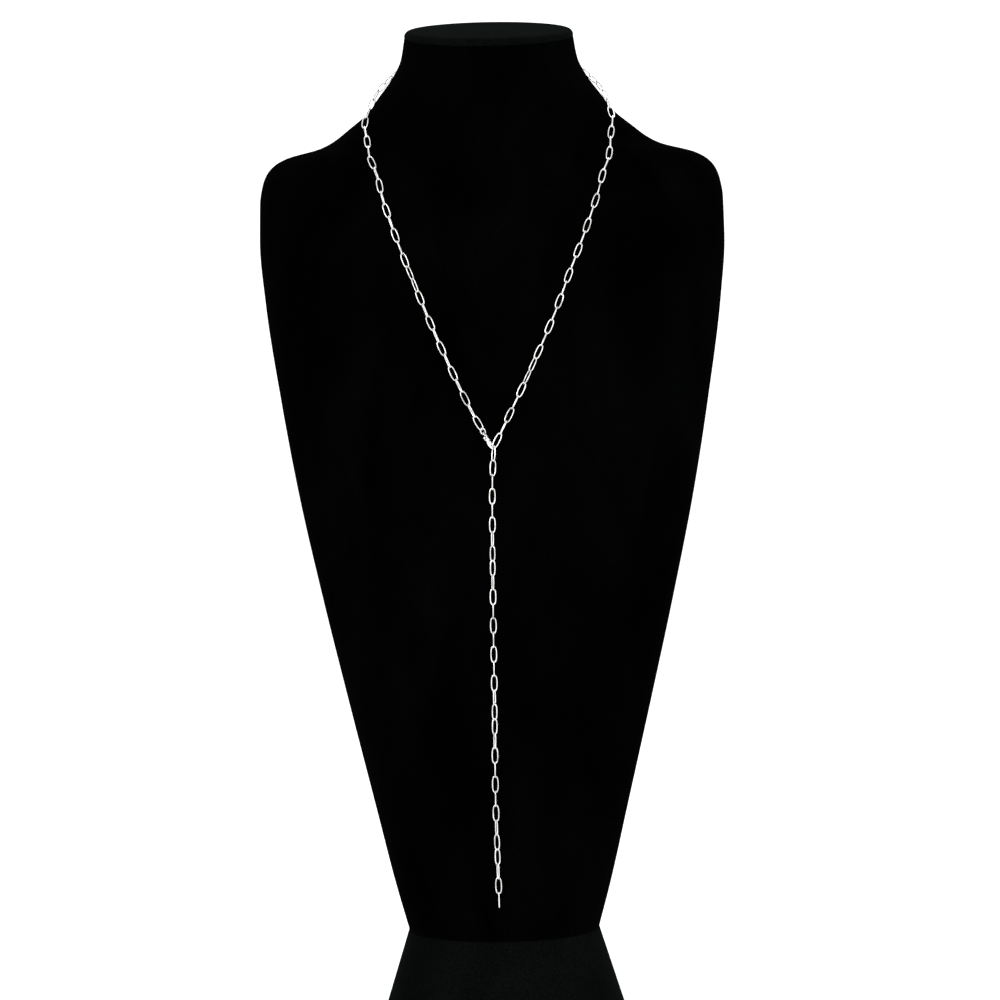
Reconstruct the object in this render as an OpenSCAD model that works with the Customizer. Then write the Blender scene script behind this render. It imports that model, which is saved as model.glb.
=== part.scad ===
// Y necklace of long oval links, worn on a tall neck bust covered in velvet.
// Millimetres. +Z is up and the front faces -Y. The origin is the middle of the foot's underside.

/* [Bust] */
// Height of the flared foot, up to the waist
foot_h = 46; // [38:1:54]
// How far the foot's lower edge stands out beyond the waist
foot_flare = 14; // [9:1:18]
// Height of the torso, from the waist to the shoulder line
torso_h = 388.5; // [350:0.5:420]
// Height of the neck, from the shoulder line to its rim
neck_h = 58; // [50:1:66]
// Width across the shoulders
shoulder_w = 237; // [215:1:260]
// Thickness of the torso, from chest to back
chest_d = 98; // [86:1:108]
// Width of the neck at its rim
neck_w = 86.4; // [80:0.2:92]
// Depth of the neck at its rim
neck_d = 68; // [62:1:76]
// How far the neck stands behind the middle of the foot
set_back = 64; // [50:1:76]
// Forward slope of the neck's rim, in degrees
rim_tilt = 12; // [6:1:16]
// Thickness of the cap that closes the neck
cap_t = 5; // [3.5:0.5:7]
// Roundness of the edges of the cap and the foot
edge_r = 1.2; // [0.6:0.1:1.6]
// Air between the pieces of the bust
seam = 0.1; // [0.05:0.05:0.3]

/* [Chain] */
// Outer length of a link, before it is fitted to a whole number of links
link_l = 8.46; // [7.6:0.02:9.4]
// Outer width of a link
link_w = 3.4; // [3:0.05:3.8]
// Thickness of the links' wire
wire_d = 0.6; // [0.5:0.02:0.7]
// Play between two links that are pulled tight
play = 0.22; // [0.18:0.01:0.26]
// Air between the widest part of the links and the velvet
skin_gap = 0.45; // [0.35:0.05:1]

/* [Jump ring] */
// Outer diameter of the ring
ring_d = 4; // [3.8:0.1:4.6]
// Thickness of the ring's wire
ring_wire = 0.7; // [0.6:0.02:0.75]
// Turn of the ring away from lying flat, in degrees
ring_turn = -54; // [-56:1:-50]
// Turn of the link that the ring holds, away from lying flat, in degrees
last_turn = 10; // [0:1:20]

/* [Clasp] */
// Length from the wire of the eye to the wire of the hook
clasp_l = 9.8; // [9.4:0.1:10.4]
// Hole in the eye
eye_hole = 1.2; // [1.1:0.05:1.4]
// Thickness of the eye's wire
eye_wire = 0.7; // [0.6:0.05:0.8]
// Radius of the hook's bend, to the middle of its wire
hook_r = 1.8; // [1.7:0.05:1.9]
// Thickness of the hook's wire
hook_wire = 0.9; // [0.8:0.05:1]
// Thickness of the arm, from the hook to the body
arm_wire = 1.1; // [1.05:0.05:1.2]
// Width of the body at its widest
body_w = 3.8; // [3.5:0.1:4.2]
// Thickness of the body between its flat sides
body_t = 2.2; // [2:0.05:2.6]
// Thickness of the lever
lever_t = 0.8; // [0.6:0.05:0.9]
// Width of the lever where it meets the hook
lever_w = 0.8; // [0.6:0.05:0.9]
// Diameter of the lever's round thumb tab
tab_d = 1.2; // [1:0.05:1.4]
// Diameter of the hinge pin
pin_d = 0.7; // [0.5:0.05:0.8]
// Running clearance round the hinge pin
pin_play = 0.05; // [0.03:0.01:0.08]
// Air between the lever and the slot, the hook and the body
lever_gap = 0.12; // [0.1:0.01:0.18]
// How far the lever opens, in degrees
open_angle = 12; // [8:1:13]
// Air between the hook and the last link of the loop
hook_air = 0.2; // [0.18:0.01:0.22]
// Turn of the clasp about its own length, away from lying flat, in degrees
clasp_turn = 62; // [60:1:64]

/* [Hidden] */

// Points round a section of the bust, flat sides round a link's wire, straight pieces in its bends
AROUND = 40;
WIRE_SIDES = 5;
BEND_STEPS = 4;
// Tallest step between two sections of the bust
STEP_H = 26;
// Samples of a route between two of its points
FINE = 8;
$fn = 48;
velvet = [0.07, 0.07, 0.08];
silver = [0.86, 0.87, 0.89];

// Sections of the bust from the waist up. The columns are shares of named sizes:
// up the height, half the width, half the thickness, set back, how pointed the ends are
// (1 is an ellipse, more is a lens), and the slope of the rim.
TORSO = [
    [0.000, 0.400, 0.88, 0.000, 0.90, 0],
    [0.055, 0.450, 0.89, 0.010, 0.90, 0],
    [0.160, 0.535, 0.92, 0.090, 0.88, 0],
    [0.290, 0.640, 0.96, 0.200, 0.87, 0],
    [0.420, 0.742, 0.99, 0.310, 0.87, 0],
    [0.550, 0.836, 1.00, 0.420, 0.88, 0],
    [0.675, 0.912, 1.00, 0.580, 0.92, 0],
    [0.805, 0.977, 0.97, 0.750, 0.98, 0],
    [0.885, 1.000, 0.92, 0.850, 1.02, 0],
    [0.935, 0.998, 0.86, 0.905, 1.08, 0],
    [0.960, 0.985, 0.81, 0.920, 1.20, 0],
    [0.975, 0.965, 0.78, 0.930, 1.30, 0],
    [0.986, 0.932, 0.76, 0.935, 1.40, 0],
    [0.995, 0.878, 0.74, 0.940, 1.42, 0]
];
NECK = [
    [0.045, 2.020, 1.050, 0.942, 1.38, 0],
    [0.095, 1.880, 1.045, 0.945, 1.28, 0],
    [0.215, 1.666, 1.035, 0.953, 1.18, 0],
    [0.345, 1.456, 1.030, 0.964, 1.10, 0],
    [0.480, 1.321, 1.020, 0.972, 1.06, 0],
    [0.655, 1.150, 1.015, 0.980, 1.02, 0.25],
    [0.810, 1.046, 1.005, 0.985, 1.00, 0.60],
    [1.000, 1.000, 1.000, 0.990, 1.00, 1]
];

// Routes of the chain over the velvet. The columns are a turn about the bust (0 the front, 90 its
// right as seen from the front, 180 the back), a drop below the neck's rim as a share of the height
// from waist to rim, and air beyond the usual as a share of the links' width.
NECK_ROUTE = [
    [-0.5, 0.463, 0.25], [3.4, 0.431, 0.15], [9.6, 0.375, 0.05], [14.8, 0.322, 0], [19.4, 0.266, 0],
    [23.2, 0.223, 0], [26.6, 0.184, 0], [29.2, 0.157, 0], [34.6, 0.135, 0], [41, 0.1265, 0.05],
    [47.4, 0.1175, 0.1], [55.4, 0.105, 0], [66, 0.091, 0], [88, 0.061, 0], [114, 0.037, 0],
    [146, 0.028, 0], [180, 0.027, 0], [214, 0.028, 0], [246, 0.037, 0], [271, 0.061, 0],
    [292, 0.0915, 0], [303, 0.1065, 0], [311.2, 0.1175, 0.15], [317.8, 0.1265, 0.05],
    [324.6, 0.135, 0], [330.4, 0.157, 0], [333, 0.189, 0], [336, 0.226, 0], [339.8, 0.272, 0],
    [344.4, 0.328, 0], [349.4, 0.382, 0.05], [353.7, 0.4225, 0.15], [356.8, 0.447, 0.25],
    [359.5, 0.467, 0.25]
];
DROP_ROUTE = [
    [-0.5, 0.463, 0.25], [-1.1, 0.499, 0.12], [-1.4, 0.55, 0], [-1.8, 0.652, 0], [-2.1, 0.742, 0],
    [-2.7, 0.843, 0], [-2.5, 0.921, 0], [-2.4, 0.9615, 0]
];

// Slow twists of the chains, as [link, quarter turns so far]; the loop's own length sets the rest
NECK_TWIST = [[0, 0.28], [2, 0], [3, 0], [8, 1]];
DROP_TWIST = [[0, -0.36], [2, 0], [5, 0], [10, 1], [16, 1], [21, 2], [25, 2], [30, 3]];

// General helpers
function unit(v) = v / norm(v);
function square_to(v, axis) = unit(v - (v * axis) * axis);
function signed_power(x, p) = sign(x) * pow(abs(x), p);
function wrapped(x, period) = x - period * floor(x / period);
function placing(x, y, at) =
    let (z = cross(x, y))
    [[x[0], y[0], z[0], at[0]], [x[1], y[1], z[1], at[1]], [x[2], y[2], z[2], at[2]], [0, 0, 0, 1]];

// Sections in millimetres: height, half width, half thickness, place behind the foot, point, slope
shoulder_z = foot_h + torso_h;
rim_z = shoulder_z + neck_h;
function section(r, z0, h, w, d) =
    [z0 + r[0] * h, r[1] * w / 2, r[2] * d / 2, r[3] * set_back, r[4], r[5] * rim_tilt];
SECTIONS = [
    for (r = TORSO) section(r, foot_h, torso_h, shoulder_w, chest_d),
    for (r = NECK) section(r, shoulder_z, neck_h, neck_w, neck_d)
];
last_row = len(SECTIONS) - 1;

// A smooth curve through each column that never swings past the rows it joins
function rise(i) = SECTIONS[i + 1][0] - SECTIONS[i][0];
function slope(i, c) = (SECTIONS[i + 1][c] - SECTIONS[i][c]) / rise(i);
function mean_slope(i, c) =
    let (below = slope(i - 1, c), above = slope(i, c))
    let (w0 = 2 * rise(i) + rise(i - 1), w1 = rise(i) + 2 * rise(i - 1))
    below * above <= 0 ? 0 : (w0 + w1) / (w0 / below + w1 / above);
function row_slope(i, c) = i == 0 ? slope(0, c) : i == last_row ? slope(i - 1, c) : mean_slope(i, c);
SLOPES = [for (i = [0 : last_row]) [for (c = [0 : 5]) row_slope(i, c)]];
function row_under(z, i = 0) = i >= last_row - 1 || SECTIONS[i + 1][0] > z ? i : row_under(z, i + 1);
function section_at(z) =
    let (i = row_under(z), h = rise(i), t = (z - SECTIONS[i][0]) / h)
    (1 + 2 * t) * pow(1 - t, 2) * SECTIONS[i] + t * pow(1 - t, 2) * h * SLOPES[i]
    + t * t * (3 - 2 * t) * SECTIONS[i + 1] + t * t * (t - 1) * h * SLOPES[i + 1];

// The velvet's surface
function outline(s, turn) =
    let (y = -s[2] * signed_power(cos(turn), s[4]))
    [s[1] * sin(turn), s[3] + y, s[0] + y * tan(s[5])];
function skin(turn, z) = outline(section_at(z), turn);
function skin_normal(turn, z) =
    unit(cross(skin(turn + 1, z) - skin(turn - 1, z), skin(turn, z + 0.5) - skin(turn, z - 0.5)));

// A closed solid through rings of points, which run anticlockwise as seen from the last ring
module loft(rings) {
    n = len(rings[0]);
    m = len(rings);
    middle = [for (k = [1 : n]) 1 / n];
    points = [for (r = rings) each r, middle * rings[0], middle * rings[m - 1]];
    sides = [
        for (j = [0 : m - 2], k = [0 : n - 1])
            let (a = j * n + k, b = j * n + (k + 1) % n, c = a + n, d = b + n)
            each [[a, c, b], [b, c, d]]
    ];
    bottom = [for (k = [0 : n - 1]) [m * n, k, (k + 1) % n]];
    top = [for (k = [0 : n - 1]) [m * n + 1, (m - 1) * n + (k + 1) % n, (m - 1) * n + k]];
    polyhedron(points, concat(sides, bottom, top));
}
function ring_of(s) = [for (k = [0 : AROUND - 1]) outline(s, k * 360 / AROUND)];

// Bust: the torso with the neck, the flared foot, and the cap on the neck's sloping rim
LEVELS = [
    for (i = [0 : last_row - 1])
        let (steps = ceil(rise(i) / STEP_H))
        for (k = [0 : steps - 1]) SECTIONS[i][0] + k * rise(i) / steps,
    rim_z
];
module bust_torso() {
    color(velvet)
        loft([for (z = LEVELS) ring_of(section_at(z))]);
}

// The waist's outline, grown by some width, at a height
function waist_ring(z, grow) =
    let (s = SECTIONS[0])
    ring_of([z, s[1] + grow, s[2] + grow, s[3], s[4], 0]);
module bust_foot() {
    color(velvet)
        loft([
            for (a = [0, 45, 90]) waist_ring(edge_r * (1 - cos(a)), foot_flare - edge_r * (1 - sin(a))),
            waist_ring(foot_h - seam, 0)
        ]);
}

module neck_cap() {
    deep = neck_d / 2 / cos(rim_tilt);
    levels = [
        for (a = [0, 90]) [edge_r / 2 * (1 - cos(a)), edge_r / 2 * (sin(a) - 1)],
        for (a = [0, 45, 90]) [cap_t - edge_r * (1 - sin(a)), -edge_r * (1 - cos(a))]
    ];
    color(velvet)
        translate([0, SECTIONS[last_row][3], rim_z + seam])
            rotate([rim_tilt, 0, 0])
                loft([for (v = levels) ring_of([v[0], neck_w / 2 + v[1], deep + v[1], 0, 1, 0])]);
}

// A smooth curve through a route's points, lifted off the velvet
function along(route, u) =
    let (n = len(route), i = min(floor(u), n - 2), t = u - i)
    let (a = route[max(i - 1, 0)], b = route[i], c = route[i + 1], d = route[min(i + 2, n - 1)])
    b + t / 2 * (c - a + t * (2 * a - 5 * b + 4 * c - d + t * (3 * (b - c) + d - a)));
function place(route, u) =
    let (p = along(route, u), z = rim_z - p[1] * (torso_h + neck_h))
    skin(p[0], z) + (link_w / 2 + skin_gap + p[2] * link_w) * skin_normal(p[0], z);

// Table of [length from the start, place on the route] up to the place u_end
function length_table(route, u_end) =
    let (n = ceil(u_end * FINE), p = [for (i = [0 : n]) place(route, i * u_end / n)])
    let (steps = [for (i = [0 : n]) norm(p[i] - p[max(i - 1, 0)])])
    [for (i = 0, s = 0; i <= n; i = i + 1, s = s + (i > n ? 0 : steps[i])) [s, i * u_end / n]];

// The joints between a chain's links, a whole number of equal steps apart
function joints(route, u_end) =
    let (table = length_table(route, u_end), s = table[len(table) - 1][0])
    let (n = round(s / (link_l - 2 * wire_d - play)))
    [for (i = [0 : n]) place(route, lookup(i * s / n, table))];

// Each link's direction, and a side direction that is carried along the chain without twisting
function directions(j) = [for (i = [0 : len(j) - 2]) unit(j[i + 1] - j[i])];
function sides(dirs) =
    let (last = len(dirs) - 1, first = square_to([1, 0, 0], dirs[0]))
    [for (i = 0, s = first; i <= last; i = i + 1, s = square_to(s, dirs[min(i, last)])) s];

// A chain of links, one between each two joints, each turned by its roll from its side direction
module chain(j, rolls) {
    dirs = directions(j);
    carried = sides(dirs);
    bend_r = (link_w - wire_d) / 2;
    angles = [
        for (k = [0 : BEND_STEPS]) -90 + k * 180 / BEND_STEPS,
        for (k = [0 : BEND_STEPS]) 90 + k * 180 / BEND_STEPS
    ];
    stations = len(angles);
    w = WIRE_SIDES;
    points = [
        for (i = [0 : len(dirs) - 1])
            let (x = dirs[i], s = carried[i], y = s * cos(rolls[i]) + cross(x, s) * sin(rolls[i]))
            let (z = cross(x, y), mid = (j[i] + j[i + 1]) / 2)
            let (straight = (norm(j[i + 1] - j[i]) + wire_d + play) / 2 - bend_r)
            for (k = [0 : stations - 1])
                let (out = cos(angles[k]) * x + sin(angles[k]) * y)
                let (centre = mid + (k <= BEND_STEPS ? 1 : -1) * straight * x + bend_r * out)
                for (a = [0.5 : w])
                    centre + wire_d / 2 * (cos(a * 360 / w) * out + sin(a * 360 / w) * z)
    ];
    faces = [
        for (i = [0 : len(dirs) - 1], k = [0 : stations - 1], a = [0 : w - 1])
            let (base = i * stations * w, here = base + k * w, next = base + (k + 1) % stations * w)
            let (b = (a + 1) % w)
            each [[here + a, here + b, next + a], [here + b, next + b, next + a]]
    ];
    color(silver)
        polyhedron(points, faces);
}

// The hanging end, from the Y down
DROP = joints(DROP_ROUTE, len(DROP_ROUTE) - 1);
module drop_chain() {
    n = len(DROP) - 1;
    chain(DROP, [for (i = [0 : n - 1]) 90 * (i + 1 + lookup(i, DROP_TWIST))]);
}

// The hook passes through the first hanging link, right under the last link of the loop
hook_drop = wire_d + play / 2 + hook_wire / 2 + hook_air;
HOOK = DROP[0] + hook_drop * unit(DROP[1] - DROP[0]);

// The loop ends where the jump ring and the clasp just reach the hook
ring_r = (ring_d - ring_wire) / 2;
ring_at = clasp_l - (eye_wire + ring_wire) / 2 - play + ring_r;
reach = ring_at + ring_r - (ring_wire + play) / 2;
route_end = len(NECK_ROUTE) - 1;
NEAR_END = [
    for (i = [0 : 3 * FINE])
        let (u = route_end - i / FINE)
        [norm(place(NECK_ROUTE, u) - HOOK), u]
];
NECK_JOINTS = joints(NECK_ROUTE, lookup(reach, NEAR_END));

// Directions at the clasp: up to its eye, and round that line from lying flat
EYE_WAY = unit(NECK_JOINTS[len(NECK_JOINTS) - 1] - HOOK);
CROSS_WAY = square_to([1, 0, 0], EYE_WAY);
function turned(a) = cos(a) * CROSS_WAY + sin(a) * cross(EYE_WAY, CROSS_WAY);

// The loop's twist, which brings its last link round to lie square through the jump ring
module neck_chain() {
    dirs = directions(NECK_JOINTS);
    last = len(dirs) - 1;
    side = sides(dirs)[last];
    wanted = square_to(turned(last_turn), dirs[last]);
    roll = atan2(cross(dirs[last], side) * wanted, side * wanted);
    turns = 2 + wrapped(roll / 90 - last, 2);
    twist = concat(NECK_TWIST, [
        [last * 0.45, 1], [last * 0.55, turns - 1], [last - 15, turns - 1], [last - 10, turns]
    ]);
    chain(NECK_JOINTS, [for (i = [0 : last]) 90 * (i + lookup(i, twist))]);
}

module jump_ring() {
    color(silver)
        multmatrix(placing(turned(ring_turn), EYE_WAY, HOOK + ring_at * EYE_WAY))
            rotate_extrude()
                translate([ring_r, 0])
                    circle(d = ring_wire);
}

// The clasp lies in a plane of its own: x from the arm to the lever, y from the hook to the eye
body_y = clasp_l - body_w / 2 - eye_hole - eye_wire / 2 - 0.1;
pin_at = [0.14 * body_w, body_y];
hub_r = pin_d / 2 + 0.5;
tip_y = hook_r + lever_gap;
lever_reach = norm(pin_at - [hook_r, tip_y + lever_gap]);
gate_way = atan2(tip_y - pin_at[1], hook_r - pin_at[0]);
tab_way = 172;
tab_reach = pin_at[0] + body_w / 2 + 0.9 * tab_d;
// The arm leans in towards the body, and the hook runs past its half circle by a lap at both ends
arm_r = 14;
arm_sweep = 15;
lap = 5;

module in_clasp() {
    multmatrix(placing(turned(clasp_turn), EYE_WAY, HOOK))
        children();
}

// The lever's outline about its pin, opened by an angle
module lever_outline(grow, open) {
    rotate(gate_way - open)
        intersection() {
            circle(lever_reach + grow);
            translate([0, -lever_w / 2 - grow])
                square([lever_reach + 1, lever_w + 2 * grow]);
        }
    rotate(tab_way - open)
        translate([0, -lever_w / 2 - grow])
            square([tab_reach + grow, lever_w + 2 * grow]);
    circle(hub_r + grow);
}

module clasp_body() {
    slot_t = lever_t + 2 * lever_gap;
    eye_r = (eye_hole + eye_wire) / 2;
    color(silver)
        in_clasp() {
            difference() {
                union() {
                    intersection() {
                        translate([0, body_y, 0])
                            sphere(d = body_w);
                        translate([0, body_y, 0])
                            cube([2 * body_w, 2 * body_w, body_t], center = true);
                    }
                    translate([arm_r - hook_r, hook_r, 0])
                        rotate(180 - arm_sweep)
                            rotate_extrude(angle = arm_sweep)
                                translate([arm_r, 0])
                                    circle(d = arm_wire);
                }
                translate([pin_at[0], pin_at[1], -slot_t / 2])
                    linear_extrude(slot_t)
                        for (open = [0, open_angle / 2, open_angle])
                            lever_outline(lever_gap, open);
            }
            difference() {
                translate([0, hook_r, 0])
                    rotate(180 - lap)
                        rotate_extrude(angle = 180 + 3 * lap)
                            translate([hook_r, 0])
                                circle(d = hook_wire);
                translate([pin_at[0], pin_at[1], 0])
                    cylinder(r = lever_reach + lever_gap, h = 2 * hook_wire, center = true);
            }
            translate([0, clasp_l - eye_r, 0])
                rotate_extrude()
                    translate([eye_r, 0])
                        circle(d = eye_wire);
            translate([pin_at[0], pin_at[1], -body_t / 2])
                cylinder(d = pin_d, h = body_t);
        }
}

module clasp_lever() {
    color(silver)
        in_clasp()
            translate([pin_at[0], pin_at[1], 0])
                difference() {
                    union() {
                        translate([0, 0, -lever_t / 2])
                            linear_extrude(lever_t)
                                lever_outline(0, 0);
                        rotate(tab_way)
                            translate([tab_reach, 0, 0])
                                sphere(d = tab_d);
                    }
                    cylinder(d = pin_d + 2 * pin_play, h = 2 * lever_t, center = true);
                }
}

bust_torso();
bust_foot();
neck_cap();
neck_chain();
drop_chain();
jump_ring();
clasp_body();
clasp_lever();
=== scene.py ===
# %% [markdown]
# # A long chain worn as a Y on a velvet neck bust
# This lesson dresses a finished model: a silver chain of oval links, clasped into a Y, on a tall neck
# bust that is covered in black velvet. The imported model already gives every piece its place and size.
# So the first step loads it and keeps its box, which the dressed pieces have to stay inside.

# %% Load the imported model
import math

import bmesh
import bpy
import numpy as np
from mathutils import Matrix, Vector


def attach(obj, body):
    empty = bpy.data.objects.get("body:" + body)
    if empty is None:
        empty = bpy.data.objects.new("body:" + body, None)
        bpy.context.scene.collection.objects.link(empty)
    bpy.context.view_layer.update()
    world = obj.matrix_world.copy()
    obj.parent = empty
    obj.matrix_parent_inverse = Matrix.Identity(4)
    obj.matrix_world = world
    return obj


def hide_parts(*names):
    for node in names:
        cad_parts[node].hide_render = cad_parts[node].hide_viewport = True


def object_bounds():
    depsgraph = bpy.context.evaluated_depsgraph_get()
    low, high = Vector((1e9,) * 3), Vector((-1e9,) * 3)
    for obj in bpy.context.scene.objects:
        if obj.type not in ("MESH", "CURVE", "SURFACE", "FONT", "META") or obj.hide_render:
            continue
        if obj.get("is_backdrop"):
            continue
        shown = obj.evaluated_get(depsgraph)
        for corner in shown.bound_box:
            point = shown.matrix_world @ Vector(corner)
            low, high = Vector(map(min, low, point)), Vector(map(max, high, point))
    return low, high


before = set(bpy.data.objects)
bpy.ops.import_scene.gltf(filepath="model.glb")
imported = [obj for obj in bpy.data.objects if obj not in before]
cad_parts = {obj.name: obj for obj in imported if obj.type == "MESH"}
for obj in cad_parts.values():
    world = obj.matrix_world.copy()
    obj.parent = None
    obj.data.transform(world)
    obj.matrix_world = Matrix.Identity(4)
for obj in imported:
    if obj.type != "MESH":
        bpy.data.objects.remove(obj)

MM = 0.001
scene = bpy.context.scene


def put_in_scene(name, data):
    made = bpy.data.objects.new(name, data)
    scene.collection.objects.link(made)
    return made


model_low, model_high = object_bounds()
for name, node in sorted(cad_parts.items()):
    print(name, "has", len(node.data.polygons), "triangles in the packed model")
print("the model is", [round((high - low) / MM, 1) for low, high in zip(model_low, model_high)], "mm")

# %% [markdown]
# ## The camera
# The photograph looks as if it was taken from the front with a long lens, from a little above the
# middle of the bust, with the camera leaning over by one degree. A long lens shows near and far parts
# at almost the same scale. Its distance and its angle downwards are guesses. The lens, the aim and the
# lean were then set by comparing outlines with the photograph. The camera is turned by two rotations
# that are multiplied, because the lean is about its own axis.

# %% Place the camera
camera_data = bpy.data.cameras.new("front_camera")
camera_data.lens = 126.2
camera_data.sensor_width = 36
camera = put_in_scene("front_camera", camera_data)
aim = Vector((0.0016, 0.060, 0.256))
looking_down = math.radians(3)
lean = math.radians(1.02)
camera_distance = 1.8
toward_camera = Vector((0, -math.cos(looking_down), math.sin(looking_down)))
upright = Matrix.Rotation(math.pi / 2 - looking_down, 4, "X")
camera.matrix_world = (
    Matrix.Translation(aim + camera_distance * toward_camera) @ upright @ Matrix.Rotation(-lean, 4, "Z")
)
scene.camera = camera
print("the camera stands at", [round(value, 3) for value in camera.matrix_world.translation], "m")

# %% [markdown]
# ## A white studio
# Behind black velvet the photographer used a white so bright that it burns out. A pale floor under a
# white sky does the same: both come out over full white, so no horizon shows, and the silver nearly
# burns out with them wherever it mirrors the room. Three weak soft boxes add a little light from both
# sides and from above. The Standard view transform is chosen because it leaves white as white.

# %% Floor and sky
def plain_material(name, colour, roughness):
    material = bpy.data.materials.new(name)
    material.use_nodes = True
    shader = material.node_tree.nodes["Principled BSDF"]
    shader.inputs["Base Color"].default_value = (*colour, 1)
    shader.inputs["Roughness"].default_value = roughness
    return material


floor_mesh = bpy.data.meshes.new("studio_floor")
half_floor = 8
corners = [(half_floor * x, half_floor * y, 0) for x, y in ((-1, -1), (1, -1), (1, 1), (-1, 1))]
floor_mesh.from_pydata(corners, [], [(0, 1, 2, 3)])
floor = put_in_scene("studio_floor", floor_mesh)
floor_mesh.materials.append(plain_material("pale_floor", (0.93, 0.93, 0.93), 0.9))
floor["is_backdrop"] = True

sky = bpy.data.worlds.new("white_sky")
sky.use_nodes = True
sky.node_tree.nodes["Background"].inputs["Color"].default_value = (1, 1, 1, 1)
sky.node_tree.nodes["Background"].inputs["Strength"].default_value = 1.35
scene.world = sky
scene.view_settings.view_transform = "Standard"
scene.view_settings.look = "None"
print("the floor is", floor.dimensions.x, "m wide")


# %% Soft boxes
def soft_box(name, place, target, size, watts):
    light = bpy.data.lights.new(name, "AREA")
    light.shape = "RECTANGLE"
    light.size = size[0]
    light.size_y = size[1]
    light.energy = watts
    box = put_in_scene(name, light)
    box.location = place
    box.rotation_euler = (Vector(target) - Vector(place)).to_track_quat("-Z", "Y").to_euler()


middle = (0, 0.04, 0.28)
soft_box("key_box", (-1.1, -1.5, 1.3), middle, (0.9, 0.9), 16)
soft_box("fill_box", (1.3, -1.3, 0.7), middle, (0.7, 1.2), 7)
soft_box("top_box", (0, 0.5, 1.7), middle, (1.2, 0.8), 9)

# %% [markdown]
# ## The form of the bust
# A neck bust is a light moulded form: flat lens-like sections that grow from the waist to the
# shoulders, draw in over the shoulder line and run up into an oval neck that leans back. It could be
# sculpted, but the form follows a rule, so it is made as the model makes it: a table of sections as
# shares of the bust's sizes, and a smooth curve up each column that never swings past the rows.
# The dressed form uses far more rows and points than the model, so that its outline reads as a curve.

# %% Sizes and sections of the bust
foot_height = 46
foot_flare = 14
torso_height = 388.5
neck_height = 58
shoulder_width = 237
chest_depth = 98
neck_width = 86.4
neck_depth = 68
lean_back = 64
rim_slope = 12
cap_height = 5
seam = 0.1

# Shares of the height, half the width, half the depth and the lean back; then the power that points
# the section's sides, and the share of the rim's slope
TORSO_ROWS = [
    (0.000, 0.400, 0.88, 0.000, 0.90, 0),
    (0.055, 0.450, 0.89, 0.010, 0.90, 0),
    (0.160, 0.535, 0.92, 0.090, 0.88, 0),
    (0.290, 0.640, 0.96, 0.200, 0.87, 0),
    (0.420, 0.742, 0.99, 0.310, 0.87, 0),
    (0.550, 0.836, 1.00, 0.420, 0.88, 0),
    (0.675, 0.912, 1.00, 0.580, 0.92, 0),
    (0.805, 0.977, 0.97, 0.750, 0.98, 0),
    (0.885, 1.000, 0.92, 0.850, 1.02, 0),
    (0.935, 0.998, 0.86, 0.905, 1.08, 0),
    (0.960, 0.985, 0.81, 0.920, 1.20, 0),
    (0.975, 0.965, 0.78, 0.930, 1.30, 0),
    (0.986, 0.932, 0.76, 0.935, 1.40, 0),
    (0.995, 0.878, 0.74, 0.940, 1.42, 0),
]
NECK_ROWS = [
    (0.045, 2.020, 1.050, 0.942, 1.38, 0),
    (0.095, 1.880, 1.045, 0.945, 1.28, 0),
    (0.215, 1.666, 1.035, 0.953, 1.18, 0),
    (0.345, 1.456, 1.030, 0.964, 1.10, 0),
    (0.480, 1.321, 1.020, 0.972, 1.06, 0),
    (0.655, 1.150, 1.015, 0.980, 1.02, 0.25),
    (0.810, 1.046, 1.005, 0.985, 1.00, 0.60),
    (1.000, 1.000, 1.000, 0.990, 1.00, 1),
]


def section_rows(rows, start, height, width, depth):
    shares = np.array(rows, float)
    sizes = np.array([height, width / 2, depth / 2, lean_back, 1, rim_slope])
    return shares * sizes + np.array([start, 0, 0, 0, 0, 0])


shoulder_line = foot_height + torso_height
rim_line = shoulder_line + neck_height
sections = np.vstack([
    section_rows(TORSO_ROWS, foot_height, torso_height, shoulder_width, chest_depth),
    section_rows(NECK_ROWS, shoulder_line, neck_height, neck_width, neck_depth),
])
print(len(sections), "sections from", sections[0, 0], "to", sections[-1, 0], "mm")


# %% A smooth curve up each column
def row_slopes(table):
    rise = np.diff(table[:, 0])
    steps = np.diff(table, axis=0) / rise[:, None]
    slopes = np.zeros_like(table)
    slopes[0] = steps[0]
    slopes[-1] = steps[-1]
    for row in range(1, len(table) - 1):
        weight_below = 2 * rise[row] + rise[row - 1]
        weight_above = rise[row] + 2 * rise[row - 1]
        for column in range(table.shape[1]):
            below = steps[row - 1, column]
            above = steps[row, column]
            if below * above > 0:
                mean = weight_below / below + weight_above / above
                slopes[row, column] = (weight_below + weight_above) / mean
    return slopes


slopes = row_slopes(sections)


def section_at(height):
    row = int(np.clip(np.searchsorted(sections[:, 0], height, "right") - 1, 0, len(sections) - 2))
    rise = sections[row + 1, 0] - sections[row, 0]
    t = (height - sections[row, 0]) / rise
    return (
        (1 + 2 * t) * (1 - t) ** 2 * sections[row]
        + t * (1 - t) ** 2 * rise * slopes[row]
        + t * t * (3 - 2 * t) * sections[row + 1]
        + t * t * (t - 1) * rise * slopes[row + 1]
    )


def outline(section, turns):
    height, half_width, half_depth, behind, point, slope = section
    across = half_width * np.sin(turns)
    forward = -half_depth * np.sign(np.cos(turns)) * np.abs(np.cos(turns)) ** point
    upward = height + forward * math.tan(math.radians(slope))
    return np.stack([across, behind + forward, upward], axis=1)


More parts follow.
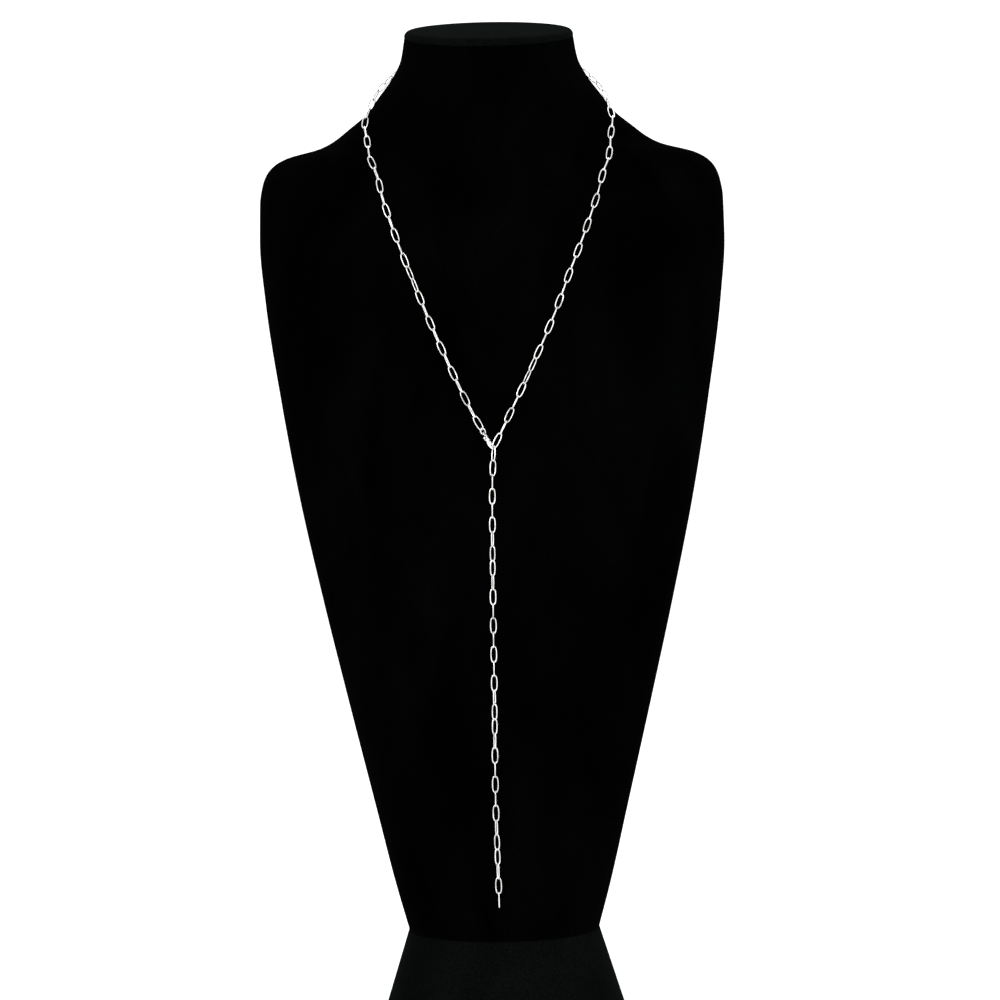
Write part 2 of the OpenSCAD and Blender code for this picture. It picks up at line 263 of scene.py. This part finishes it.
# The turns are spread so that the points lie evenly round the bust, a little under its shoulders
AROUND = 160
even_level = shoulder_line - 60
fine_turns = np.linspace(0, 2 * math.pi, 8001)
fine_ring = outline(section_at(even_level), fine_turns)
fine_length = np.concatenate([[0], np.cumsum(np.linalg.norm(np.diff(fine_ring, axis=0), axis=1))])
even_turns = np.interp(np.arange(AROUND) / AROUND * fine_length[-1], fine_length, fine_turns)
print("a little under the shoulders the bust measures", round(fine_length[-1]), "mm round")


# %% A closed skin through rings of points
def volume_facing_outwards(mesh):
    form = bmesh.new()
    form.from_mesh(mesh)
    volume = form.calc_volume(signed=True)
    if volume < 0:
        bmesh.ops.reverse_faces(form, faces=form.faces)
        form.to_mesh(mesh)
    form.free()
    return abs(volume)


def skin_through(name, rings, material):
    count = len(rings[0])
    points = np.vstack([*rings, rings[0].mean(0), rings[-1].mean(0)]) * MM
    faces = []
    for level in range(len(rings) - 1):
        for k in range(count):
            a = level * count + k
            b = level * count + (k + 1) % count
            faces.append((a, b, b + count, a + count))
    low_middle = len(rings) * count
    top = (len(rings) - 1) * count
    for k in range(count):
        faces.append((low_middle, (k + 1) % count, k))
        faces.append((low_middle + 1, top + k, top + (k + 1) % count))
    mesh = bpy.data.meshes.new(name)
    mesh.from_pydata(points.tolist(), [], faces)
    mesh.materials.append(material)
    mesh.shade_smooth()
    volume = volume_facing_outwards(mesh)
    print(name, "has", len(faces), "faces and holds", round(volume * 1e6, 1), "cubic centimetres")
    return put_in_scene(name, mesh)


# %% [markdown]
# ## Velvet
# Velvet is a short dense pile. Straight on, light falls between the hairs and is lost, so the cloth
# looks black. Edge on, the hair tips catch it and turn a little grey, which is the shader's sheen. Its
# own colour stays nearly black, and its gloss is off. All the shades, the sheen's too, are darker than
# real velvet's, because they follow the photograph, where the cloth is almost fully black.
# Two things change over the cloth and come from one node group, shared by both velvets: the grain of
# the pile, under a millimetre, and brush marks, where a hand has laid the pile one way or the other.
# Photographs hardly show these marks on black, but they keep the large faces from looking printed.

# %% Small helpers for shader nodes
def feed(tree, socket, value):
    if isinstance(value, bpy.types.NodeSocket):
        tree.links.new(value, socket)
    else:
        socket.default_value = value


def new_group(name, inputs, outputs):
    group = bpy.data.node_groups.new(name, "ShaderNodeTree")
    for label, kind, value in inputs:
        socket = group.interface.new_socket(label, in_out="INPUT", socket_type=kind)
        if value is not None:
            socket.default_value = value
    for label, kind in outputs:
        group.interface.new_socket(label, in_out="OUTPUT", socket_type=kind)
    return group, group.nodes.new("NodeGroupInput"), group.nodes.new("NodeGroupOutput")


def add_node(tree, kind, settings=None, **values):
    node = tree.nodes.new(kind)
    for key, value in (settings or {}).items():
        setattr(node, key, value)
    for key, value in values.items():
        feed(tree, node.inputs[key.replace("_", " ")], value)
    return node


def spread(tree, value, low, high, new_low, new_high):
    node = add_node(tree, "ShaderNodeMapRange", {"clamp": True})
    labels = ("Value", "From Min", "From Max", "To Min", "To Max")
    for label, amount in zip(labels, (value, low, high, new_low, new_high)):
        feed(tree, node.inputs[label], amount)
    return node.outputs["Result"]


def blend_colours(tree, share, first, second, how="MIX"):
    node = tree.nodes.new("ShaderNodeMix")
    node.data_type = "RGBA"
    node.blend_type = how
    # A mix node has sockets for every kind of value: 0 is the share, 6 and 7 are the colours
    for index, value in ((0, share), (6, first), (7, second)):
        feed(tree, node.inputs[index], value)
    return node.outputs[2]


# %% The nap: grain of the pile and brush marks
nap, nap_in, nap_out = new_group(
    "velvet_nap",
    [
        ("Place", "NodeSocketVector", None),
        ("Tufts per metre", "NodeSocketFloat", 1500.0),
        ("Brush marks per metre", "NodeSocketFloat", 22.0),
        ("Shade", "NodeSocketColor", (0.002, 0.002, 0.002, 1)),
        ("Brushed shade", "NodeSocketColor", (0.004, 0.004, 0.004, 1)),
    ],
    [
        ("Colour", "NodeSocketColor"),
        ("Roughness", "NodeSocketFloat"),
        ("Pile height", "NodeSocketFloat"),
    ],
)
tufts = add_node(
    nap, "ShaderNodeTexNoise", Vector=nap_in.outputs["Place"],
    Scale=nap_in.outputs["Tufts per metre"], Detail=2.0, Roughness=0.6,
)
strokes_place = add_node(
    nap, "ShaderNodeMapping", Vector=nap_in.outputs["Place"], Scale=(1.0, 1.0, 0.4),
)
strokes = add_node(
    nap, "ShaderNodeTexNoise", Vector=strokes_place.outputs["Vector"],
    Scale=nap_in.outputs["Brush marks per metre"], Detail=3.0, Roughness=0.55, Distortion=0.6,
)
brushed = spread(nap, strokes.outputs["Fac"], 0.38, 0.66, 0.0, 1.0)
cloth = blend_colours(nap, brushed, nap_in.outputs["Shade"], nap_in.outputs["Brushed shade"])
grain = spread(nap, tufts.outputs["Fac"], 0.3, 0.7, 0.55, 1.45)
grain_colour = add_node(nap, "ShaderNodeCombineColor", Red=grain, Green=grain, Blue=grain)
cloth = blend_colours(nap, 1.0, cloth, grain_colour.outputs["Color"], "MULTIPLY")
nap.links.new(cloth, nap_out.inputs["Colour"])
nap.links.new(spread(nap, brushed, 0.0, 1.0, 1.0, 0.86), nap_out.inputs["Roughness"])
nap.links.new(tufts.outputs["Fac"], nap_out.inputs["Pile height"])
print("the nap group has", len(nap.nodes), "nodes")


# %% Two velvets
def velvet(name, shade, brushed_shade, sheen_tint, tufts_per_metre):
    material = bpy.data.materials.new(name)
    material.use_nodes = True
    tree = material.node_tree
    shader = tree.nodes["Principled BSDF"]
    shader.inputs["Specular IOR Level"].default_value = 0.0
    shader.inputs["Sheen Weight"].default_value = 1.0
    shader.inputs["Sheen Roughness"].default_value = 0.4
    shader.inputs["Sheen Tint"].default_value = (*sheen_tint, 1)
    place = tree.nodes.new("ShaderNodeTexCoord")
    pile = tree.nodes.new("ShaderNodeGroup")
    pile.node_tree = nap
    tree.links.new(place.outputs["Object"], pile.inputs["Place"])
    pile.inputs["Tufts per metre"].default_value = tufts_per_metre
    pile.inputs["Shade"].default_value = (*shade, 1)
    pile.inputs["Brushed shade"].default_value = (*brushed_shade, 1)
    tree.links.new(pile.outputs["Colour"], shader.inputs["Base Color"])
    tree.links.new(pile.outputs["Roughness"], shader.inputs["Roughness"])
    bump = add_node(
        tree, "ShaderNodeBump", Height=pile.outputs["Pile height"], Strength=0.5, Distance=0.0004
    )
    tree.links.new(bump.outputs["Normal"], shader.inputs["Normal"])
    return material


black_velvet = velvet(
    "black_velvet",
    shade=(0.0002, 0.0002, 0.0002), brushed_shade=(0.0006, 0.0007, 0.00065),
    sheen_tint=(0.0022, 0.0029, 0.0024), tufts_per_metre=1500,
)
# A paler copy of the velvet, for the foot and the cap. On the cap its lighter colour and stronger sheen are
# painted light: they stand for the light that the cap's top catches from above.
paler_lit_velvet = velvet(
    "paler_lit_velvet",
    shade=(0.0013, 0.0016, 0.0014), brushed_shade=(0.0021, 0.0025, 0.0023),
    sheen_tint=(0.0045, 0.006, 0.005), tufts_per_metre=1200,
)
print("velvets:", black_velvet.name, paler_lit_velvet.name)

# %% [markdown]
# ## The torso
# One length of velvet is pulled over the form from the waist, over the shoulders and up the neck, and
# fits it without a fold. So the torso is a single skin, with short rows where the shoulders turn over.

# %% Torso with its neck
row_spacing = 3
fewest_rows = 5
torso_levels = []
for low, high in zip(sections[:-1, 0], sections[1:, 0]):
    steps = max(fewest_rows, math.ceil((high - low) / row_spacing))
    torso_levels.extend(low + (high - low) * np.arange(steps) / steps)
torso_levels.append(rim_line)
torso = skin_through(
    "velvet_torso", [outline(section_at(level), even_turns) for level in torso_levels], black_velvet
)
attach(torso, "bust_with_chain")
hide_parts("bust_torso")


# %% [markdown]
# ## The foot
# Below the waist the bust stands on a short flared foot, covered with the paler copy of the velvet,
# a little lighter in colour and sheen than the torso's. It is the same kind of skin: the waist's outline,
# grown by a straight flare down to a rounded lower edge. The top tucks in a little, where the cloth goes
# under the torso.

# %% Flared foot
def waist_ring(height, grow):
    _, half_width, half_depth, behind, point, _ = sections[0]
    return outline((height, half_width + grow, half_depth + grow, behind, point, 0), even_turns)


def quarter_round(radius, count):
    angles = np.radians(np.linspace(0, 90, count))
    return [(radius * (1 - math.cos(angle)), radius * (math.sin(angle) - 1)) for angle in angles]


lower_edge = 1.2
tuck_height = 0.6
foot_rings = [waist_ring(height, foot_flare + grow) for height, grow in quarter_round(lower_edge, 7)]
flare_to = foot_height - seam - tuck_height
for share in np.linspace(0, 1, 18)[1:]:
    height = lower_edge + (flare_to - lower_edge) * share
    foot_rings.append(waist_ring(height, foot_flare * (foot_height - height) / (foot_height - lower_edge)))
for share, tuck in ((0.5, 0.25), (1.0, 0.8)):
    foot_rings.append(waist_ring(flare_to + tuck_height * share, -tuck))
# The foot wears the paler velvet, a little lighter than the torso's.
foot = skin_through("velvet_foot", foot_rings, paler_lit_velvet)
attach(foot, "bust_with_chain")
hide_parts("bust_foot")

# %% [markdown]
# ## The cap
# A disc under its own piece of the paler velvet closes the neck. Its lighter colour and stronger sheen
# are painted light, for the light that the cap's top catches from above. The cloth is drawn round the
# disc's edge, so the edges are soft and the top is slightly crowned. Its rings are ellipses, built flat
# and then tilted with the rim as one stack. The profile says how high each ring lies and how far it
# stands out from the disc's side, which is zero or less for every ring.

# %% Cap on the neck's rim
cap_turns = 2 * math.pi * np.arange(AROUND) / AROUND
rim_middle = sections[-1, 3]
tilt = math.radians(rim_slope)
cap_half_width = neck_width / 2
cap_half_depth = neck_depth / 2 / math.cos(tilt)
top_edge = 2.8
low_edge = 0.8
crown = 1.2
profile = quarter_round(low_edge, 4)
for inward, downward in quarter_round(top_edge, 7):
    profile.append((cap_height - crown + downward, -inward))
for share in (0.08, 0.18, 0.3, 0.45, 0.6, 0.75, 0.9):
    height = cap_height - crown + crown * (1 - (1 - share) ** 2)
    profile.append((height, -top_edge - share * (cap_half_depth - top_edge)))
cap_rings = []
for height, grow in profile:
    shrink = 1 + min(0, grow + top_edge) / (cap_half_depth - top_edge)
    half_width = (cap_half_width + max(grow, -top_edge)) * shrink
    half_depth = (cap_half_depth + max(grow, -top_edge)) * shrink
    flat = np.stack([half_width * np.sin(cap_turns), -half_depth * np.cos(cap_turns)], axis=1)
    upward = np.full(AROUND, height)
    forward = flat[:, 1] * math.cos(tilt) - upward * math.sin(tilt)
    lifted = flat[:, 1] * math.sin(tilt) + upward * math.cos(tilt)
    cap_rings.append(np.stack([flat[:, 0], rim_middle + forward, rim_line + seam + lifted], axis=1))
# The cap wears the paler velvet, whose lighter colour and sheen are painted light for its lit top.
cap = skin_through("velvet_cap", cap_rings, paler_lit_velvet)
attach(cap, "bust_with_chain")
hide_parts("neck_cap")

# %% [markdown]
# ## Silver
# The chain is drawn silver wire and the clasp is cast and tumbled. Both are polished, so what is seen
# is mostly what they mirror: the white room on their fronts and the black velvet along their sides.
# One node group gives both the small things that keep polish from looking like plastic: hair-fine
# scratches, patches where handling has dulled the shine, and a slightly warmer tone in those patches.

# %% The polish: scratches and dulled patches
polish, polish_in, polish_out = new_group(
    "silver_polish",
    [
        ("Place", "NodeSocketVector", None),
        ("Patches per metre", "NodeSocketFloat", 240.0),
        ("Scratches per metre", "NodeSocketFloat", 5000.0),
        ("Bright", "NodeSocketColor", (0.93, 0.93, 0.94, 1)),
        ("Dulled", "NodeSocketColor", (0.80, 0.79, 0.77, 1)),
        ("Smoothest", "NodeSocketFloat", 0.12),
        ("Roughest", "NodeSocketFloat", 0.28),
    ],
    [
        ("Colour", "NodeSocketColor"),
        ("Roughness", "NodeSocketFloat"),
        ("Scratch height", "NodeSocketFloat"),
    ],
)
patches = add_node(
    polish, "ShaderNodeTexNoise", Vector=polish_in.outputs["Place"],
    Scale=polish_in.outputs["Patches per metre"], Detail=3.0, Roughness=0.6,
)
scratch_place = add_node(
    polish, "ShaderNodeMapping", Vector=polish_in.outputs["Place"],
    Scale=(1.0, 1.0, 0.12), Rotation=(0.5, 0.3, 0.0),
)
scratches = add_node(
    polish, "ShaderNodeTexNoise", Vector=scratch_place.outputs["Vector"],
    Scale=polish_in.outputs["Scratches per metre"], Detail=1.0, Roughness=0.5,
)
dulled = spread(polish, patches.outputs["Fac"], 0.45, 0.72, 0.0, 1.0)
scratched = spread(polish, scratches.outputs["Fac"], 0.5, 0.75, 0.0, 1.0)
tone = blend_colours(polish, dulled, polish_in.outputs["Bright"], polish_in.outputs["Dulled"])
polish.links.new(tone, polish_out.inputs["Colour"])
worn = add_node(polish, "ShaderNodeMath", {"operation": "MAXIMUM"})
polish.links.new(dulled, worn.inputs[0])
polish.links.new(scratched, worn.inputs[1])
shine = spread(
    polish, worn.outputs["Value"], 0.0, 1.0, polish_in.outputs["Smoothest"], polish_in.outputs["Roughest"]
)
polish.links.new(shine, polish_out.inputs["Roughness"])
polish.links.new(scratches.outputs["Fac"], polish_out.inputs["Scratch height"])
print("the polish group has", len(polish.nodes), "nodes")


# %% Link silver and clasp silver
def silver(name, bright, dull, smoothest, roughest, scratch_depth, tone_attribute=None):
    material = bpy.data.materials.new(name)
    material.use_nodes = True
    tree = material.node_tree
    shader = tree.nodes["Principled BSDF"]
    shader.inputs["Metallic"].default_value = 1.0
    place = tree.nodes.new("ShaderNodeTexCoord")
    finish = tree.nodes.new("ShaderNodeGroup")
    finish.node_tree = polish
    tree.links.new(place.outputs["Object"], finish.inputs["Place"])
    finish.inputs["Bright"].default_value = (*bright, 1)
    finish.inputs["Dulled"].default_value = (*dull, 1)
    finish.inputs["Smoothest"].default_value = smoothest
    finish.inputs["Roughest"].default_value = roughest
    colour = finish.outputs["Colour"]
    if tone_attribute:
        own_tone = add_node(tree, "ShaderNodeAttribute", {"attribute_name": tone_attribute})
        shade = spread(tree, own_tone.outputs["Fac"], 0.0, 1.0, 0.84, 1.0)
        grey = add_node(tree, "ShaderNodeCombineColor", Red=shade, Green=shade, Blue=shade)
        colour = blend_colours(tree, 1.0, colour, grey.outputs["Color"], "MULTIPLY")
    tree.links.new(colour, shader.inputs["Base Color"])
    tree.links.new(finish.outputs["Roughness"], shader.inputs["Roughness"])
    bump = add_node(
        tree, "ShaderNodeBump", Height=finish.outputs["Scratch height"], Strength=0.25,
        Distance=scratch_depth,
    )
    tree.links.new(bump.outputs["Normal"], shader.inputs["Normal"])
    return material


link_silver = silver(
    "link_silver",
    bright=(0.84, 0.84, 0.83), dull=(0.46, 0.45, 0.42),
    smoothest=0.10, roughest=0.28, scratch_depth=0.00002, tone_attribute="link_tone",
)
clasp_silver = silver(
    "clasp_silver",
    bright=(0.78, 0.78, 0.77), dull=(0.48, 0.47, 0.44),
    smoothest=0.12, roughest=0.30, scratch_depth=0.00003,
)
print("silvers:", link_silver.name, clasp_silver.name)

# %% [markdown]
# ## Reading the places of the links
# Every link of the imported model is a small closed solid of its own: a stadium of wire in five flat
# sides. Its place can be read from its points. Their middle is the link's middle, the direction in
# which they spread most runs along the link, and the second one runs across it. So the chain doesn't
# need its route again, and each new link has its middle where the model's link has it.
# The new wire is a little thicker than the model's, because bright light makes the wire look thicker
# in the photograph. The model's flat sides lie inside the round wire that they stand for, so the new
# links also come out a tenth of a millimetre longer and wider.

# %% Measure each link of the model
model_wire = 0.6
model_wire_sides = 5
wire = 0.68
link_width = 3.4
flat_of_wire = model_wire / 2 * math.cos(math.pi / model_wire_sides)


def measured_links(node_name):
    form = bmesh.new()
    form.from_mesh(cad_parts[node_name].data)
    bmesh.ops.remove_doubles(form, verts=form.verts, dist=1e-7)
    form.verts.ensure_lookup_table()
    seen = set()
    links = []
    for start in form.verts:
        if start.index in seen:
            continue
        island = []
        waiting = [start]
        seen.add(start.index)
        while waiting:
            vertex = waiting.pop()
            island.append(vertex.co[:])
            for edge in vertex.link_edges:
                other = edge.other_vert(vertex)
                if other.index not in seen:
                    seen.add(other.index)
                    waiting.append(other)
        points = np.array(island) / MM
        centre = points.mean(0)
        _, axes = np.linalg.eigh(np.cov((points - centre).T))
        along = axes[:, 2]
        across = axes[:, 1]
        reach = np.ptp((points - centre) @ along) / 2 - flat_of_wire + (model_wire - wire) / 2
        links.append((centre, along, across, reach))
    form.free()
    return links


places_of = {name: measured_links(name) for name in ("neck_chain", "drop_chain")}
for name, links in places_of.items():
    lengths = [2 * link[3] + wire for link in links]
    print(name, len(links), "links,", round(min(lengths), 2), "to", round(max(lengths), 2), "mm long")

# %% [markdown]
# ## One link, many times
# A link is a piece of round wire bent into a long oval and soldered shut. Its sides bow a little, so
# it isn't two straight wires with half circles: a circle's points are pushed out by a power of their
# places, which squares the circle up, and a small six-sided ring is swept along it. The link is put on
# every measured point, turned by the point's two directions and stretched to the point's length, and
# each copy gets a tone of its own from a fixed seed. The tree ends in plain mesh, because instances
# would be lost on the way out of Blender.

# %% The tree that makes the links
def input_named(tree, label):
    return next(item.identifier for item in tree.interface.items_tree if item.name == label)


links_tree = bpy.data.node_groups.new("oval_links", "GeometryNodeTree")
for label, kind, value in (
    ("Places", "NodeSocketGeometry", None),
    ("Wire radius", "NodeSocketFloat", 0.0003),
    ("Half width", "NodeSocketFloat", 0.0014),
    ("Half length", "NodeSocketFloat", 0.0039),
    ("Squareness", "NodeSocketFloat", 2.6),
    ("Points round the link", "NodeSocketInt", 24),
    ("Sides of the wire", "NodeSocketInt", 6),
    ("Seed", "NodeSocketInt", 7),
    ("Finish", "NodeSocketMaterial", None),
):
    socket = links_tree.interface.new_socket(label, in_out="INPUT", socket_type=kind)
    if value is not None:
        socket.default_value = value
links_tree.interface.new_socket("Chain", in_out="OUTPUT", socket_type="NodeSocketGeometry")
links_in = links_tree.nodes.new("NodeGroupInput")
links_out = links_tree.nodes.new("NodeGroupOutput")


def join(source, target):
    links_tree.links.new(source, target)


def maths(operation, *values):
    node = add_node(links_tree, "ShaderNodeMath", {"operation": operation})
    for socket, value in zip(node.inputs, values):
        feed(links_tree, socket, value)
    return node.outputs["Value"]


# %% Wire bent into an oval
ring = links_tree.nodes.new("GeometryNodeCurvePrimitiveCircle")
ring.inputs["Radius"].default_value = 1
join(links_in.outputs["Points round the link"], ring.inputs["Resolution"])
place_on_ring = add_node(
    links_tree, "ShaderNodeSeparateXYZ", Vector=links_tree.nodes.new("GeometryNodeInputPosition").outputs[0]
)
power = maths("DIVIDE", 2.0, links_in.outputs["Squareness"])


def bowed(label, half_size):
    value = place_on_ring.outputs[label]
    share = maths("POWER", maths("ABSOLUTE", value), power)
    return maths("MULTIPLY", maths("MULTIPLY", maths("SIGN", value), share), half_size)


oval = links_tree.nodes.new("ShaderNodeCombineXYZ")
join(bowed("X", links_in.outputs["Half length"]), oval.inputs["X"])
join(bowed("Y", links_in.outputs["Half width"]), oval.inputs["Y"])
bent = links_tree.nodes.new("GeometryNodeSetPosition")
join(ring.outputs["Curve"], bent.inputs["Geometry"])
join(oval.outputs["Vector"], bent.inputs["Position"])
wire_round = links_tree.nodes.new("GeometryNodeCurvePrimitiveCircle")
join(links_in.outputs["Sides of the wire"], wire_round.inputs["Resolution"])
join(links_in.outputs["Wire radius"], wire_round.inputs["Radius"])
swept = links_tree.nodes.new("GeometryNodeCurveToMesh")
join(bent.outputs["Geometry"], swept.inputs["Curve"])
join(wire_round.outputs["Curve"], swept.inputs["Profile Curve"])
closed = links_tree.nodes.new("GeometryNodeMergeByDistance")
join(swept.outputs["Mesh"], closed.inputs["Geometry"])
closed.inputs["Distance"].default_value = 0.00001
print("one link takes", len(links_tree.nodes), "nodes")


# %% A link on every place
def point_value(name, kind):
    node = add_node(links_tree, "GeometryNodeInputNamedAttribute", {"data_type": kind})
    node.inputs["Name"].default_value = name
    return node.outputs["Attribute"]


turned = links_tree.nodes.new("FunctionNodeAxesToRotation")
turned.primary_axis = "X"
turned.secondary_axis = "Y"
join(point_value("along", "FLOAT_VECTOR"), turned.inputs["Primary Axis"])
join(point_value("across", "FLOAT_VECTOR"), turned.inputs["Secondary Axis"])
placed = links_tree.nodes.new("GeometryNodeInstanceOnPoints")
join(links_in.outputs["Places"], placed.inputs["Points"])
join(closed.outputs["Geometry"], placed.inputs["Instance"])
join(turned.outputs["Rotation"], placed.inputs["Rotation"])
join(point_value("stretch", "FLOAT_VECTOR"), placed.inputs["Scale"])
own_tone = add_node(links_tree, "FunctionNodeRandomValue", {"data_type": "FLOAT"})
join(links_in.outputs["Seed"], own_tone.inputs["Seed"])
toned = add_node(
    links_tree, "GeometryNodeStoreNamedAttribute", {"data_type": "FLOAT", "domain": "INSTANCE"}
)
toned.inputs["Name"].default_value = "link_tone"
join(placed.outputs["Instances"], toned.inputs["Geometry"])
join(own_tone.outputs[1], toned.inputs["Value"])
realized = links_tree.nodes.new("GeometryNodeRealizeInstances")
join(toned.outputs["Geometry"], realized.inputs["Geometry"])
smooth = links_tree.nodes.new("GeometryNodeSetShadeSmooth")
join(realized.outputs["Geometry"], smooth.inputs["Geometry"])
finished = links_tree.nodes.new("GeometryNodeSetMaterial")
join(smooth.outputs["Geometry"], finished.inputs["Geometry"])
join(links_in.outputs["Finish"], finished.inputs["Material"])
join(finished.outputs["Geometry"], links_out.inputs["Chain"])
print("the links tree has", len(links_tree.nodes), "nodes")


# %% The two chains as plain meshes
# A link's place, its two directions and its stretch are written on a cloud of points
def chain_of_links(name, node_name, seed):
    links = places_of[node_name]
    usual = float(np.median([link[3] for link in links]))
    places = bpy.data.meshes.new(name + "_places")
    places.from_pydata([tuple(link[0] * MM) for link in links], [], [])
    columns = (
        ("along", [link[1] for link in links]),
        ("across", [link[2] for link in links]),
        ("stretch", [(link[3] / usual, 1, 1) for link in links]),
    )
    for label, values in columns:
        column = places.attributes.new(label, "FLOAT_VECTOR", "POINT")
        column.data.foreach_set("vector", np.array(values, np.float32).ravel())
    holder = put_in_scene(name + "_places", places)
    maker = holder.modifiers.new("links", "NODES")
    maker.node_group = links_tree
    for label, value in (
        ("Wire radius", wire / 2 * MM),
        ("Half width", (link_width - wire) / 2 * MM),
        ("Half length", usual * MM),
        ("Squareness", 2.6),
        ("Points round the link", 24),
        ("Sides of the wire", 6),
        ("Seed", seed),
        ("Finish", link_silver),
    ):
        maker[input_named(links_tree, label)] = value
    graph = bpy.context.evaluated_depsgraph_get()
    mesh = bpy.data.meshes.new_from_object(holder.evaluated_get(graph))
    holder.modifiers.remove(maker)
    bpy.data.objects.remove(holder)
    mesh.name = name
    volume = volume_facing_outwards(mesh)
    print(name, "has", len(mesh.polygons), "faces and", round(volume * 1e9, 1), "cubic mm of silver")
    return put_in_scene(name, mesh)


neck_links = chain_of_links("neck_links", "neck_chain", 7)
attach(neck_links, "bust_with_chain")
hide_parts("neck_chain")
drop_links = chain_of_links("drop_links", "drop_chain", 11)
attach(drop_links, "bust_with_chain")
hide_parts("drop_chain")

# %% [markdown]
# ## The ring
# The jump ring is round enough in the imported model, so it keeps its shape and takes the clasp's silver.

# %% Silver for the ring
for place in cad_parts["jump_ring"].material_slots:
    place.material = clasp_silver
    print("jump_ring wears", place.material.name)

# %% [markdown]
# ## The clasp
# A lobster clasp is cast and then tumbled, which rounds all its edges and melts the arm, the body and
# the eye into one form. The model joins them as plain shapes with sharp edges. So each part is copied
# from the model, skinned anew with a fine even grid and smoothed, which does what the tumbling does.
# The arm of such a clasp is also fuller than a plain bent wire: a crescent, broad where it leaves the
# body and slender at the hook. It is laid over the model's arm before the new skin is drawn, so here
# the arm stands proud of the model's by up to four tenths of a millimetre.
# The arm is laid out in millimetres, so the copy is scaled up to them and the casting back at the end.

# %% A crescent for the arm
# The middle of the hook's wire at its lowest place, in mm, and the clasp's own directions
hook_bottom = Vector((-1.02, -20.05, 285.09))
toward_eye = Vector((-0.491, 0.197, 0.849)).normalized()
toward_lever = Vector((0.409, 0.912, 0.025)).normalized()
through_clasp = toward_lever.cross(toward_eye)
# Toward the lever, toward the eye, half the thickness, half the breadth
ARM_STATIONS = [
    (-1.20, 5.30, 0.45, 0.80),
    (-1.42, 4.80, 0.60, 0.92),
    (-1.66, 4.20, 0.68, 0.94),
    (-1.86, 3.50, 0.68, 0.89),
    (-1.97, 2.75, 0.61, 0.79),
    (-1.95, 2.00, 0.55, 0.67),
    (-1.70, 1.15, 0.49, 0.56),
    (-1.20, 0.48, 0.46, 0.49),
    (-0.50, 0.08, 0.44, 0.45),
]


# A closed tube along the arm, oval in section
def crescent(stations, sides=20):
    turns = 2 * math.pi * np.arange(sides) / sides
    form = bmesh.new()
    rings = []
    for index, (across, along, thick, broad) in enumerate(stations):
        before = stations[max(0, index - 1)]
        after = stations[min(len(stations) - 1, index + 1)]
        way = math.atan2(after[1] - before[1], after[0] - before[0])
        outward = math.sin(way) * toward_lever - math.cos(way) * toward_eye
        middle = hook_bottom + across * toward_lever + along * toward_eye
        deep, wide = thick * outward, broad * through_clasp
        rings.append([
            form.verts.new(middle + math.cos(turn) * deep + math.sin(turn) * wide) for turn in turns
        ])
    for lower, upper in zip(rings[:-1], rings[1:]):
        for side in range(sides):
            beside = (side + 1) % sides
            form.faces.new((lower[side], lower[beside], upper[beside], upper[side]))
    form.faces.new(rings[0][::-1])
    form.faces.new(rings[-1])
    bmesh.ops.recalc_face_normals(form, faces=form.faces)
    return form


# %% Castings from the model's shapes
skin_grid = 0.08
smoothing_rounds = 8


# A copy of a node, perhaps laid over another form, in one new smooth skin
def casting(name, node_name, overlay=None):
    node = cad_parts[node_name]
    form = overlay or bmesh.new()
    copied = node.data.copy()
    copied.transform(Matrix.Scale(1 / MM, 4))
    form.from_mesh(copied)
    bpy.data.meshes.remove(copied)
    bmesh.ops.remove_doubles(form, verts=form.verts, dist=0.001)
    bmesh.ops.triangulate(form, faces=form.faces)
    rough = bpy.data.meshes.new(name + "_rough")
    form.to_mesh(rough)
    form.free()
    holder = put_in_scene(name + "_rough", rough)
    skin = holder.modifiers.new("new_skin", "REMESH")
    skin.mode = "VOXEL"
    skin.voxel_size = skin_grid
    tumbled = holder.modifiers.new("tumbled", "SMOOTH")
    tumbled.factor = 0.5
    tumbled.iterations = smoothing_rounds
    graph = bpy.context.evaluated_depsgraph_get()
    mesh = bpy.data.meshes.new_from_object(holder.evaluated_get(graph))
    holder.modifiers.clear()
    bpy.data.objects.remove(holder)
    bpy.data.meshes.remove(rough)
    mesh.transform(Matrix.Scale(MM, 4))
    mesh.name = name
    mesh.shade_smooth()
    mesh.materials.clear()
    mesh.materials.append(clasp_silver)
    print(name, "has", len(mesh.polygons), "faces")
    return put_in_scene(name, mesh)


clasp_casting = casting("clasp_casting", "clasp_body", crescent(ARM_STATIONS))
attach(clasp_casting, "bust_with_chain")
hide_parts("clasp_body")
lever_casting = casting("lever_casting", "clasp_lever")
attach(lever_casting, "lever")
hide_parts("clasp_lever")

# %% [markdown]
# ## Does it all stay inside the model?
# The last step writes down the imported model's box and the dressed one's. They agree but for the cap:
# the model's is flat on top, while this one is crowned and has a rounder edge. The edge is the highest
# place of the tilted cap, and it lies about one and a half millimetres lower.

# %% Measure and finish
dressed_low, dressed_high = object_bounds()
for axis, label in enumerate("XYZ"):
    lower = (dressed_low[axis] - model_low[axis]) / MM
    upper = (dressed_high[axis] - model_high[axis]) / MM
    print(label, "moved by", round(lower, 2), "and", round(upper, 2), "mm")
